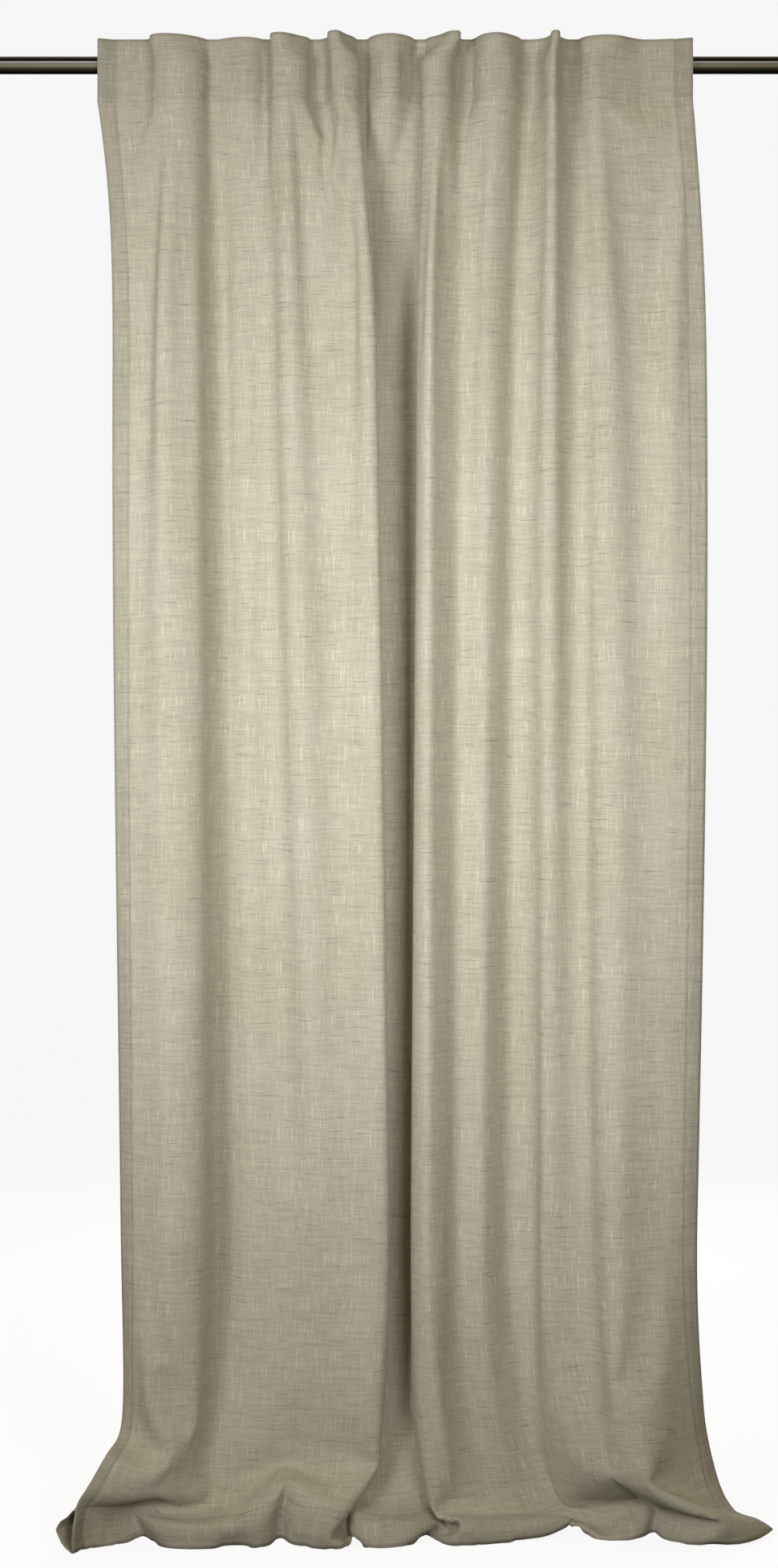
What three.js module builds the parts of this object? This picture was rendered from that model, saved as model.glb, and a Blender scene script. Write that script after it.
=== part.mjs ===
// Fabric curtain panel that hangs on a pole by loops hidden behind its heading.
//
// Frame, in millimetres: the origin is on the axis of the pole, halfway along the heading.
// +X runs along the pole, to the right of someone facing the curtain, +Y runs away from that
// person towards the window, and +Z is up. The floor is DROP below the origin.
//
// One width of cloth makes the face. Its two sides are turned back and stitched first, then its
// top is turned down behind as the heading and its bottom is turned up as the hem, so the turnings
// lie behind the face in two layers. The loops are strips of the same cloth, bar tacked to the
// heading at both ends, and the pole passes between them and the heading.

import * as THREE from "three";

// ---- Driving dimensions -------------------------------------------------------------------

const POLE_DIAMETER = 28; // the pole that the loops are made for; it isn't part of the panel
const POLE_EASE = 1; // room between the pole and the cloth round it
const HUNG_WIDTH = 950; // heading from edge to edge, gathered on the pole
const DROP = 2356; // pole axis to floor
const HEADING_RISE = 36; // top edge above the pole axis
const HEADING_DEPTH = 100; // top edge to the heading seam
const SIDE_HEM = 30; // width of the turned sides
const BOTTOM_HEM = 65; // height of the turned bottom
const CLOTH = 1.2; // thickness of one layer
const LAYER_GAP = 0.3; // air between two layers
const LOOP_WIDTH = 22; // along the pole
const LOOP_SEAM = 11; // length of a loop's end that lies flat on the heading
const LOOP_TAIL = 8; // from a loop's lower end to the heading seam
const THREAD = 0.8; // thickness of the sewing thread's line
const SEAM_WIDTH = 1.6; // width of a line of stitches
const SEAM_INSET = 3; // from a turned edge to its line of stitches
const TACK_HEIGHT = 2.4;
const LABEL_HEIGHT = 46; // care label, sewn on the back of a side hem
const LABEL_HEIGHT_OVER_HEM = 380; // from the bottom hem up to the label

// ---- The drape ----------------------------------------------------------------------------

// Fold lines from the left edge to the right one. Each hangs from the heading, passes the waist
// and reaches the floor; at each of the three it has a place across, as a share of half the hung
// width, and a distance forwards, towards the room, in millimetres. The loops pinch the heading
// back to the pole, and it bulges forwards between them.
const FOLD_LINES = [
  { kind: "edge", heading: [-1.0, 6], waist: [-0.94, 41], floor: [-1.15, 112] },
  { kind: "loop", heading: [-0.9, 0], waist: [-0.84, 53], floor: [-0.98, 124] },
  { kind: "ridge", heading: [-0.76, 26], waist: [-0.72, 74], floor: [-0.83, 66] },
  { kind: "loop", heading: [-0.62, 0], waist: [-0.61, 23], floor: [-0.7, 34] },
  { kind: "ridge", heading: [-0.525, 46], waist: [-0.54, -4], floor: [-0.61, 40] },
  { kind: "loop", heading: [-0.43, 0], waist: [-0.47, -10], floor: [-0.5, 78] },
  { kind: "ridge", heading: [-0.35, 52], waist: [-0.385, 35], floor: [-0.39, 92] },
  { kind: "loop", heading: [-0.275, 0], waist: [-0.28, 65], floor: [-0.27, 84] },
  { kind: "ridge", heading: [-0.195, 52], waist: [-0.1, 83], floor: [-0.17, 50] },
  { kind: "loop", heading: [-0.115, 0], waist: [-0.03, -20], floor: [-0.09, 10] },
  { kind: "ridge", heading: [-0.015, 44], waist: [0.015, -52], floor: [0.0, 34] },
  { kind: "loop", heading: [0.08, 0], waist: [0.055, -18], floor: [0.07, 4] },
  { kind: "ridge", heading: [0.165, 52], waist: [0.1, 77], floor: [0.17, 88] },
  { kind: "loop", heading: [0.24, 0], waist: [0.28, 32], floor: [0.31, 72] },
  { kind: "ridge", heading: [0.335, 43], waist: [0.37, 68], floor: [0.45, 56] },
  { kind: "loop", heading: [0.44, 0], waist: [0.46, 2], floor: [0.58, 10] },
  { kind: "ridge", heading: [0.52, 52], waist: [0.555, 62], floor: [0.7, 60] },
  { kind: "loop", heading: [0.595, 0], waist: [0.655, 35], floor: [0.85, 30] },
  { kind: "ridge", heading: [0.72, 30], waist: [0.78, 44], floor: [1.0, 78] },
  { kind: "loop", heading: [0.85, 0], waist: [0.92, 71], floor: [1.15, 80] },
  { kind: "edge", heading: [1.0, 8], waist: [1.03, 56], floor: [1.275, 52] },
];

const WAIST_STARTS = 560; // below the pole, where the heading's pleats have opened into soft folds
const SPREAD_HEIGHT = 456; // above the floor, where the folds start to spread for it
const WAIST_ENDS = DROP - SPREAD_HEIGHT;
const PLEAT_STEPS = 3; // facets from a loop up to the next ridge

// Half of the width that a loop keeps flat, at the heading, the waist and the floor.
const PINCH_HALF = { heading: LOOP_WIDTH / 2, waist: 5, floor: 8 };

const poleRadius = POLE_DIAMETER / 2;
const halfWidth = HUNG_WIDTH / 2;
const topEdge = HEADING_RISE;
const headingSeam = HEADING_RISE - HEADING_DEPTH;
const floorLevel = -DROP;
const hemSeam = floorLevel + BOTTOM_HEM;

// Distances behind the front of the face, one for each layer of cloth.
const layerPitch = CLOTH + LAYER_GAP;
const FACE = [0, CLOTH];
const SIDE_TURNING = [layerPitch, layerPitch + CLOTH];
const END_TURNING = [2 * layerPitch, 2 * layerPitch + CLOTH];
const FRONT_THREAD = [-LAYER_GAP - THREAD, -LAYER_GAP];

// The back of the heading, at a loop, just clears the pole.
const headingBack = -(poleRadius + POLE_EASE);
const faceFront = headingBack - END_TURNING[1];

const smooth = (t) => {
  const k = Math.min(1, Math.max(0, t));
  return k * k * (3 - 2 * k);
};

// One number from its values at the heading, the waist and the floor, at height z.
function atHeight(heading, waist, floor, z) {
  const toWaist = smooth((headingSeam - z) / (headingSeam + WAIST_STARTS));
  const toFloor = smooth((-WAIST_ENDS - z) / (DROP - WAIST_ENDS));
  return heading + (waist - heading) * toWaist + (floor - waist) * toFloor;
}

// A point of the face's front as it lies at height z: place across, and place along Y.
function foldPoint(line, side, z) {
  const across = ["heading", "waist", "floor"].map(
    (level) => line[level][0] * halfWidth + side * (line.kind === "loop" ? PINCH_HALF[level] : 0),
  );
  const forwards = ["heading", "waist", "floor"].map((level) => line[level][1]);
  return new THREE.Vector2(atHeight(...across, z), faceFront - atHeight(...forwards, z));
}

// Points between two fold points, rounded like a wave.
function wave(from, to, steps) {
  return Array.from({ length: steps - 1 }, (_, i) => {
    const t = (i + 1) / steps;
    return new THREE.Vector2(from.x + (to.x - from.x) * t, from.y + (to.y - from.y) * smooth(t));
  });
}

// Points at given distances from an edge of the cloth towards the next fold point.
function fromEdge(edge, next, distances) {
  const along = next.clone().sub(edge).normalize();
  return distances.map((d) => edge.clone().addScaledVector(along, d));
}

const SIDE_STITCHES = [SIDE_HEM - SEAM_INSET - SEAM_WIDTH, SIDE_HEM - SEAM_INSET, SIDE_HEM];

// The face's front at height z, from its left edge to its right one.
function crossSection(z) {
  const points = [];
  FOLD_LINES.forEach((line, i) => {
    const sides = line.kind === "loop" ? [-1, 1] : [0];
    sides.forEach((side) => {
      const next = foldPoint(line, side, z);
      const last = points[points.length - 1];
      if (i === 1 && side === -1) points.push(...fromEdge(last, next, SIDE_STITCHES));
      else if (i === FOLD_LINES.length - 1) {
        points.push(...fromEdge(next, last, SIDE_STITCHES).reverse());
      } else if (last && FOLD_LINES[i].kind !== FOLD_LINES[i - 1]?.kind && side !== 1) {
        points.push(...wave(last, next, PLEAT_STEPS));
      }
      points.push(next);
    });
  });
  return points;
}

const columnCount = crossSection(0).length;
const lastColumn = columnCount - 1;
const stitchColumns = [1, 2];
const hemColumn = SIDE_STITCHES.length;

// Heights of the rows, from the top edge to the floor. Every layer uses the same rows and columns,
// so that layers lie along each other facet by facet.
const labelBottom = hemSeam + LABEL_HEIGHT_OVER_HEM;
const rowHeights = [
  topEdge,
  headingSeam + SEAM_WIDTH,
  headingSeam,
  headingSeam - SEAM_INSET,
  ...[0.3, 0.62, 1].map((share) => headingSeam - share * (WAIST_STARTS + headingSeam)),
  -(WAIST_STARTS + WAIST_ENDS) / 2,
  -WAIST_ENDS,
  -WAIST_ENDS - 0.5 * (DROP - BOTTOM_HEM - WAIST_ENDS),
  labelBottom + LABEL_HEIGHT,
  labelBottom,
  hemSeam + SEAM_INSET,
  hemSeam,
  hemSeam - SEAM_WIDTH,
  hemSeam - 0.5 * BOTTOM_HEM,
  floorLevel,
].sort((a, b) => b - a);
const row = (z) => rowHeights.findIndex((height) => Math.abs(height - z) < 1e-6);

const sections = rowHeights.map(crossSection);

// Directions straight back out of the cloth, in the horizontal plane.
const backwards = sections.map((points) =>
  points.map((_, i) => {
    const before = points[Math.max(i - 1, 0)];
    const after = points[Math.min(i + 1, lastColumn)];
    const along = after.clone().sub(before).normalize();
    return new THREE.Vector2(-along.y, along.x);
  }),
);

// ---- Materials ----------------------------------------------------------------------------

const linen = new THREE.MeshStandardMaterial({ color: 0xb5ab98, roughness: 0.95, metalness: 0 });
const linenTurned = new THREE.MeshStandardMaterial({ color: 0xa59b88, roughness: 0.95, metalness: 0 });
const loopStrip = new THREE.MeshStandardMaterial({ color: 0xaea48f, roughness: 0.9, metalness: 0 });
const sewingThread = new THREE.MeshStandardMaterial({ color: 0x9a907c, roughness: 0.6, metalness: 0 });
const labelSatin = new THREE.MeshStandardMaterial({ color: 0xeeeae2, roughness: 0.45, metalness: 0 });

const panel = new THREE.Group();

function addPiece(name, geometry, material) {
  const mesh = new THREE.Mesh(geometry, material);
  mesh.name = name;
  panel.add(mesh);
  return mesh;
}

// ---- Cloth layers -------------------------------------------------------------------------

// A closed sheet over some columns and rows, between two distances behind the face's front.
function layerGeometry([firstColumn, endColumn], [topRow, bottomRow], [front, back]) {
  const across = endColumn - firstColumn + 1;
  const down = bottomRow - topRow + 1;
  const positions = [];
  for (const depth of [front, back]) {
    for (let r = topRow; r <= bottomRow; r++) {
      for (let c = firstColumn; c <= endColumn; c++) {
        const point = sections[r][c].clone().addScaledVector(backwards[r][c], depth);
        positions.push(point.x, point.y, rowHeights[r]);
      }
    }
  }
  const sheetSize = across * down;
  const index = [];
  const quad = (a, b, c, d) => index.push(a, b, c, a, c, d);
  const at = (c, r) => r * across + c;
  for (let r = 0; r < down - 1; r++) {
    for (let c = 0; c < across - 1; c++) {
      const corners = [at(c, r), at(c, r + 1), at(c + 1, r + 1), at(c + 1, r)];
      quad(...corners);
      index.push(...[0, 2, 1, 0, 3, 2].map((k) => corners[k] + sheetSize));
    }
  }
  // The rim joins the front and the back all round.
  const rim = [
    ...Array.from({ length: across - 1 }, (_, c) => [at(c + 1, 0), at(c, 0)]),
    ...Array.from({ length: down - 1 }, (_, r) => [at(0, r), at(0, r + 1)]),
    ...Array.from({ length: across - 1 }, (_, c) => [at(c, down - 1), at(c + 1, down - 1)]),
    ...Array.from({ length: down - 1 }, (_, r) => [at(across - 1, r + 1), at(across - 1, r)]),
  ];
  for (const [a, b] of rim) quad(b, a, a + sheetSize, b + sheetSize);
  const geometry = new THREE.BufferGeometry();
  geometry.setAttribute("position", new THREE.Float32BufferAttribute(positions, 3));
  geometry.setIndex(index);
  geometry.computeVertexNormals();
  return geometry;
}

const allColumns = [0, lastColumn];
const allRows = [0, rowHeights.length - 1];

addPiece("face_cloth", layerGeometry(allColumns, allRows, FACE), linen);

addPiece(
  "left_side_hem",
  layerGeometry([0, hemColumn], allRows, SIDE_TURNING),
  linenTurned,
);
addPiece(
  "right_side_hem",
  layerGeometry([lastColumn - hemColumn, lastColumn], allRows, SIDE_TURNING),
  linenTurned,
);
addPiece(
  "heading_turning",
  layerGeometry(allColumns, [0, row(headingSeam - SEAM_INSET)], END_TURNING),
  linenTurned,
);
addPiece(
  "bottom_hem",
  layerGeometry(allColumns, [row(hemSeam + SEAM_INSET), allRows[1]], END_TURNING),
  linenTurned,
);

// ---- Lines of stitches on the face --------------------------------------------------------

addPiece(
  "heading_stitching",
  layerGeometry(allColumns, [row(headingSeam + SEAM_WIDTH), row(headingSeam)], FRONT_THREAD),
  sewingThread,
);
addPiece(
  "bottom_hem_stitching",
  layerGeometry(allColumns, [row(hemSeam), row(hemSeam - SEAM_WIDTH)], FRONT_THREAD),
  sewingThread,
);
// The side stitches stop just short of the seams that cross them.
const sideStitchRows = [row(headingSeam - SEAM_INSET), row(hemSeam + SEAM_INSET)];
addPiece(
  "left_hem_stitching",
  layerGeometry(stitchColumns, sideStitchRows, FRONT_THREAD),
  sewingThread,
);
addPiece(
  "right_hem_stitching",
  layerGeometry(stitchColumns.map((c) => lastColumn - c).reverse(), sideStitchRows, FRONT_THREAD),
  sewingThread,
);

// ---- Care label ---------------------------------------------------------------------------

addPiece(
  "care_label",
  layerGeometry(
    [0, stitchColumns[0]],
    [row(labelBottom + LABEL_HEIGHT), row(labelBottom)],
    END_TURNING,
  ),
  labelSatin,
);

// ---- Loops --------------------------------------------------------------------------------

// The middle of a loop's strip, seen along the pole: Y across and Z up. It lies on the heading,
// bends back over the pole, follows it down behind and slants forwards to the heading again.
const stripY = headingBack + LAYER_GAP + CLOTH / 2;
const wrapRadius = poleRadius + POLE_EASE + CLOTH / 2;
const upperSeamBottom = poleRadius + POLE_EASE + 2 * CLOTH;
const lowerEnd = headingSeam + LOOP_TAIL;
const lowerSeamTop = lowerEnd + LOOP_SEAM;
const loopTop = upperSeamBottom + LOOP_SEAM;

function loopPath() {
  const path = new THREE.CurvePath();
  const on = (y, z) => new THREE.Vector2(y, z);
  const overTop = on(0, wrapRadius);
  const leaves = -0.6; // radians below the pole's back, where the strip leaves it
  const behind = on(wrapRadius * Math.cos(leaves), wrapRadius * Math.sin(leaves));
  const slant = on(Math.sin(leaves), -Math.cos(leaves)).multiplyScalar(wrapRadius);
  path.add(new THREE.LineCurve(on(stripY, loopTop), on(stripY, upperSeamBottom)));
  path.add(
    new THREE.QuadraticBezierCurve(on(stripY, upperSeamBottom), on(stripY, wrapRadius), overTop),
  );
  path.add(new THREE.EllipseCurve(0, 0, wrapRadius, wrapRadius, Math.PI / 2, leaves, true));
  path.add(
    new THREE.CubicBezierCurve(
      behind,
      behind.clone().add(slant),
      on(stripY, lowerSeamTop + 0.6 * wrapRadius),
      on(stripY, lowerSeamTop),
    ),
  );
  path.add(new THREE.LineCurve(on(stripY, lowerSeamTop), on(stripY, lowerEnd)));
  return path;
}

function loopGeometry() {
  const middle = [];
  loopPath().curves.forEach((curve, i) => {
    const steps = curve.isLineCurve ? 1 : 8;
    middle.push(...curve.getPoints(steps).slice(i ? 1 : 0));
  });
  const sides = [1, -1].map((side) =>
    middle.map((point, i) => {
      const before = middle[Math.max(i - 1, 0)];
      const after = middle[Math.min(i + 1, middle.length - 1)];
      const along = after.clone().sub(before).normalize();
      return point.clone().add(new THREE.Vector2(-along.y, along.x).multiplyScalar((side * CLOTH) / 2));
    }),
  );
  const outline = new THREE.Shape([...sides[0], ...sides[1].reverse()]);
  const geometry = new THREE.ExtrudeGeometry(outline, { depth: LOOP_WIDTH, bevelEnabled: false });
  geometry.translate(0, 0, -LOOP_WIDTH / 2);
  // The outline's plane becomes the YZ plane, and its depth runs along X.
  const turn = new THREE.Matrix4().makeBasis(
    new THREE.Vector3(0, 1, 0),
    new THREE.Vector3(0, 0, 1),
    new THREE.Vector3(1, 0, 0),
  );
  return geometry.applyMatrix4(turn);
}

function tackGeometry() {
  return new THREE.BoxGeometry(LOOP_WIDTH - 2 * SEAM_INSET, THREAD, TACK_HEIGHT);
}

const tackY = stripY + CLOTH / 2 + LAYER_GAP + THREAD / 2;
const tackHeights = { upper: loopTop - LOOP_SEAM / 2, lower: lowerEnd + LOOP_SEAM / 2 };

FOLD_LINES.filter((line) => line.kind === "loop").forEach((line, i) => {
  const number = String(i + 1).padStart(2, "0");
  const x = line.heading[0] * halfWidth;
  addPiece(`loop_${number}`, loopGeometry(), loopStrip).position.x = x;
  for (const [end, z] of Object.entries(tackHeights)) {
    addPiece(`loop_${number}_${end}_tack`, tackGeometry(), sewingThread).position.set(x, tackY, z);
  }
});

export default panel;
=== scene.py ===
# %% [markdown]
# # A room curtain panel, hung on its hidden loops
# One width of linen-look cloth is turned and stitched on all four sides, and ten loops behind its
# heading hold it on a pole. This lesson cuts the cloth, gathers it, lets it hang by simulation, and
# then sews every layer, thread and loop onto the hung shape.

# %% Load the frame
import math

import bpy
import numpy as np
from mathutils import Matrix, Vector, noise


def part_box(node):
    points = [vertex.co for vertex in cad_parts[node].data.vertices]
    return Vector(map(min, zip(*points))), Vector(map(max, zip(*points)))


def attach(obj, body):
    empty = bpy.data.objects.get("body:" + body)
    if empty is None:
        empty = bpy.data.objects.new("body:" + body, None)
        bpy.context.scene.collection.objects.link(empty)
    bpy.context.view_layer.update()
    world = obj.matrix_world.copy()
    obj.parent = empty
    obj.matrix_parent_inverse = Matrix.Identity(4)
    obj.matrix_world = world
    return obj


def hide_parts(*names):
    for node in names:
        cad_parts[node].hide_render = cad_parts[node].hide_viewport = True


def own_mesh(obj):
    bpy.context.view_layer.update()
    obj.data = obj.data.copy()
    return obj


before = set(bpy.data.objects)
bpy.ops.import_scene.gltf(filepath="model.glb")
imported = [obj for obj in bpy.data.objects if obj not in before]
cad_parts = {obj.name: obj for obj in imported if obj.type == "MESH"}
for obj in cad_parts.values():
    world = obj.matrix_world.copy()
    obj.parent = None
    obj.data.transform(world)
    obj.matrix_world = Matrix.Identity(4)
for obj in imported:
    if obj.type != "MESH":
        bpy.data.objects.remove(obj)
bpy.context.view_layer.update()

# %% [markdown]
# ## Sizes
# The frame already knows where the pole, the seams and the floor are, so the sizes come from its
# nodes. Only what the frame can't know is written here: how wide and long the cloth was cut, how
# thick it is, and how much of it lies on the floor. A flat cloth of 1.4 m on 0.95 m of pole leaves
# enough for the folds.

# %% Sizes
def low(node):
    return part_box(node)[0]


def high(node):
    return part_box(node)[1]


FLOOR = low("face_cloth").z
TOP_EDGE = high("heading_turning").z
HEADING_SEAM = (low("heading_stitching").z + high("heading_stitching").z) / 2
HALF_WIDTH = (high("heading_stitching").x - low("heading_stitching").x) / 2
HEADING_DEPTH = TOP_EDGE - HEADING_SEAM
HEM_DEPTH = (low("bottom_hem_stitching").z + high("bottom_hem_stitching").z) / 2 - FLOOR

CLOTH = 0.0009  # thickness of one layer
PITCH = 0.0013  # from one layer to the next
SIDE_HEM = 0.030  # width of the turned sides
SIDE_SEAM = 0.0265  # from the side to its line of stitches
CUT_WIDTH = 1.40  # finished width of the flat panel
SLACK = 0.036  # length of cloth that breaks on the floor
CUT_LENGTH = TOP_EDGE - FLOOR + SLACK
HEM_SEAM_V = CUT_LENGTH - HEM_DEPTH

LOOPS = sorted(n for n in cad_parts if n.startswith("loop_") and not n.endswith("tack"))
LOOP_X = [(low(n).x + high(n).x) / 2 for n in LOOPS]
LOOP_WIDTH = high(LOOPS[0]).x - low(LOOPS[0]).x
POLE_RADIUS = 0.014
LOOP_FRONT = low(LOOPS[0]).y
PINCH = -LOOP_FRONT + 0.0003 + CLOTH + 2 * PITCH  # face cloth at a loop, forwards of the pole
print("floor", round(FLOOR, 3), "half width", round(HALF_WIDTH, 3), "loops", len(LOOPS))

# %% [markdown]
# ## Camera, floor and light
# The camera stands straight in front of the panel at the height of a person's chest, far enough
# away to see it all, from above the pole to the floor. The floor is as pale as the air behind it,
# as in a studio, so nothing competes with the cloth. Two soft lamps stand at its left and right and
# model the folds gently, and a wide one behind keeps the back from going dark. A Light Path node
# gives floor and air one brightness for the camera and a lower, warmer one for lighting the cloth,
# because a bright room on every side would wash out the folds.

# %% Camera
FRAME_HEIGHT = 2.523  # what the picture holds at the pole, from bottom to top
CAMERA_DISTANCE = 4.2
camera_data = bpy.data.cameras.new("front_camera")
camera = bpy.data.objects.new("front_camera", camera_data)
bpy.context.collection.objects.link(camera)
camera.location = (-0.0116, -CAMERA_DISTANCE, (TOP_EDGE + FLOOR) / 2 + 0.0044)
camera.rotation_euler = (math.radians(90), 0, 0)
camera_data.sensor_width = 36
camera_data.lens = camera_data.sensor_width * CAMERA_DISTANCE / FRAME_HEIGHT
bpy.context.scene.camera = camera
print("camera height over the floor", round(camera.location.z - FLOOR, 2))

# %% [markdown]
# Node trees are built by a few helpers, so each material below reads as a short list. One more
# helper clears the selection, because an operator acts on all that is selected.

# %% Helpers for node trees
def add_node(tree, kind, inputs=None, **settings):
    """Adds a node, sets its properties, and sets or links its inputs."""
    node = tree.nodes.new(kind)
    for key, value in settings.items():
        setattr(node, key, value)
    for key, value in (inputs or {}).items():
        if isinstance(value, bpy.types.NodeSocket):
            tree.links.new(value, node.inputs[key])
        else:
            node.inputs[key].default_value = value
    return node


def maths(tree, operation, a, b=0.0, clamp=False):
    """One Math node's result."""
    node = add_node(tree, "ShaderNodeMath", {0: a, 1: b}, operation=operation, use_clamp=clamp)
    return node.outputs[0]


def new_material(name):
    material = bpy.data.materials.new(name)
    material.use_nodes = True
    return material, material.node_tree, material.node_tree.nodes["Principled BSDF"]


def deselect_all():
    if bpy.context.object and bpy.context.object.mode != "OBJECT":
        bpy.ops.object.mode_set(mode="OBJECT")
    bpy.ops.object.select_all(action="DESELECT")

# %% Floor
FLOOR_REACH = 14.0  # radius
FLOOR_GLOW = 0.865  # makes the floor as bright as the air for the camera
floor_paint, tree, shader = new_material("pale_floor")
seen = add_node(tree, "ShaderNodeLightPath").outputs["Is Camera Ray"]
paints = {0: seen, 6: (0.05, 0.046, 0.038, 1), 7: (0.22, 0.22, 0.22, 1)}
paint = add_node(tree, "ShaderNodeMix", paints, data_type="RGBA")
tree.links.new(paint.outputs[2], shader.inputs["Base Color"])
shader.inputs["Roughness"].default_value = 1.0
shader.inputs["Specular IOR Level"].default_value = 0.0
shader.inputs["Emission Color"].default_value = (1, 1, 1, 1)
tree.links.new(maths(tree, "MULTIPLY", seen, FLOOR_GLOW), shader.inputs["Emission Strength"])

deselect_all()
bpy.ops.mesh.primitive_circle_add(
    vertices=96, radius=FLOOR_REACH, fill_type="NGON", location=(0, 0, FLOOR - 0.0005)
)
floor = bpy.context.object
floor.name = "studio_floor"
bpy.ops.object.transform_apply(location=True, rotation=True, scale=True)
floor.data.materials.append(floor_paint)
print("floor radius", FLOOR_REACH)

# %% Lamps
def soft_lamp(name, place, size, watts, target, spread=180):
    """A rectangular lamp aimed at a target. A narrower spread keeps its light off the background."""
    light = bpy.data.lights.new(name, "AREA")
    light.shape = "RECTANGLE"
    light.size, light.size_y = size
    light.energy = watts
    light.color = (0.925, 0.978, 1.06)
    light.spread = math.radians(spread)
    lamp = bpy.data.objects.new(name, light)
    bpy.context.collection.objects.link(lamp)
    lamp.location = place
    lamp.rotation_mode = "QUATERNION"
    lamp.rotation_quaternion = (Vector(target) - Vector(place)).to_track_quat("-Z", "Y")


chest = (0.05, 0, -0.93)
soft_lamp("key_from_the_left", (-1.75, -2.4, -0.86), (1.0, 1.0), 11.6, chest, 72)
soft_lamp("fill_from_the_right", (0.85, -2.9, -0.86), (1.0, 1.0), 9.8, chest, 72)
soft_lamp("window_behind", (0.6, 3.2, 0.2), (2.4, 2.0), 38, chest)
world = bpy.data.worlds.new("studio_air")
world.use_nodes = True
tree = world.node_tree
seen = add_node(tree, "ShaderNodeLightPath").outputs["Is Camera Ray"]
airs = {0: seen, 6: (0.292, 0.262, 0.178, 1), 7: (0.925, 0.925, 0.925, 1)}
air = add_node(tree, "ShaderNodeMix", airs, data_type="RGBA")
tree.links.new(air.outputs[2], tree.nodes["Background"].inputs["Color"])
tree.nodes["Background"].inputs["Strength"].default_value = 1.0
bpy.context.scene.world = world
bpy.context.scene.view_settings.view_transform = "Standard"
print("lamps", len(bpy.data.lights))

# %% [markdown]
# ## How the cloth is gathered
# Seen from above, gathered cloth is one wavy line of a fixed length. The line is drawn at a few
# heights through given points: across the heading, where each loop pinches it back to the pole,
# down the body, where the pleats have merged into a few broad folds round one deep fold in the
# middle, and on the floor, where the corners kick out. Each drawn line is then made exactly as
# long as the cloth is wide, by deepening or flattening its folds, so no height stretches the cloth.

# %% Points of the heading's pleats
# Each pleat between two loops: its share of the way from loop to loop, and millimetres forwards.
HEADING_PLEATS = [
    [(0.20, 19), (0.28, 33), (0.34, 54), (0.55, 62), (0.77, 55), (0.93, 30)],
    [(0.17, 22), (0.39, 31), (0.60, 38), (0.82, 28)],
    [(0.07, 30), (0.08, 52), (0.24, 66), (0.57, 65), (0.83, 50), (0.92, 28)],
    [(0.24, 20), (0.30, 42), (0.40, 68), (0.68, 70), (0.93, 56), (0.98, 30)],
    [(0.12, 22), (0.23, 44), (0.40, 62), (0.59, 62), (0.72, 42), (0.86, 26)],
    [(0.05, 32), (0.03, 54), (0.22, 70), (0.50, 70), (0.70, 50), (0.72, 28)],
    [(0.11, 28), (0.21, 52), (0.43, 64), (0.67, 60), (0.83, 42), (0.89, 26)],
    [(0.22, 24), (0.31, 44), (0.40, 76), (0.55, 88), (0.68, 66), (0.74, 32)],
    [(0.14, 34), (0.25, 52), (0.46, 42), (0.74, 26)],
]
TOP_PLEATS = [
    [(0.24, 20), (0.27, 46), (0.42, 54), (0.66, 48), (0.88, 28)],
    [(0.20, 24), (0.42, 34), (0.62, 36), (0.84, 26)],
    [(0.05, 34), (0.08, 54), (0.34, 56), (0.66, 40), (0.90, 26)],
    [(0.26, 26), (0.30, 56), (0.48, 62), (0.66, 44), (0.85, 28)],
    [(0.12, 30), (0.30, 50), (0.52, 56), (0.74, 44), (0.88, 28)],
    [(0.16, 28), (0.40, 44), (0.62, 66), (0.82, 68), (0.84, 34)],
    [(0.14, 30), (0.28, 52), (0.50, 60), (0.72, 46), (0.88, 28)],
    [(0.34, 26), (0.48, 50), (0.52, 92), (0.66, 92), (0.72, 40)],
    [(0.12, 32), (0.30, 46), (0.56, 46), (0.80, 26)],
]
LEFT_EDGE = [(-1.003, 27), (-0.962, 21)]
RIGHT_EDGE = [(0.91, 22), (0.955, 25), (0.995, 32)]
print("pleats between loops", len(HEADING_PLEATS))

# %% Points of the folds down the body and on the floor
# Share of half the hung width, and millimetres forwards. On the floor also millimetres lifted.
BODY_FOLDS = [
    (-0.945, 38), (-0.900, 60), (-0.790, 86), (-0.680, 52), (-0.575, 6), (-0.480, 40),
    (-0.385, 74), (-0.240, 88), (-0.110, 96), (-0.040, 80), (-0.052, 45), (-0.096, 5),
    (-0.112, -20), (-0.064, -30), (0.016, -28), (0.053, -10), (0.062, 25), (0.067, 60),
    (0.102, 88), (0.209, 48), (0.289, 70), (0.382, 34), (0.524, 76), (0.652, 42),
    (0.791, 78), (0.935, 74), (1.008, 52), (1.042, 36),
]
FLOOR_FOLDS = [
    (-1.062, 137, 0), (-1.032, 112, 0), (-0.988, 96, 0), (-0.938, 82, 0), (-0.894, 66, 0),
    (-0.850, 50, 8), (-0.813, 68, 2), (-0.764, 98, 0), (-0.678, 108, 0), (-0.589, 103, 0),
    (-0.532, 92, 0), (-0.467, 100, 0), (-0.421, 86, 0), (-0.387, 62, 8), (-0.347, 84, 0),
    (-0.255, 106, 0), (-0.186, 110, 0), (-0.158, 88, 4), (-0.150, 56, 14), (-0.143, 50, 16),
    (-0.132, 60, 12), (-0.113, 88, 2), (-0.085, 108, 0), (0.005, 102, 0), (0.058, 76, 0),
    (0.089, 40, 4), (0.109, 28, 6), (0.127, 42, 3), (0.144, 66, 0), (0.191, 88, 0),
    (0.331, 72, 0), (0.490, 44, 4), (0.575, 20, 14), (0.604, 12, 18), (0.632, 30, 8),
    (0.677, 48, 2), (0.777, 56, 0), (0.830, 40, 4), (0.863, 26, 10), (0.887, 46, 3),
    (0.928, 70, 0), (1.037, 84, 0), (1.149, 80, 0), (1.223, 50, 6), (1.265, 24, 12),
]
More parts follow.
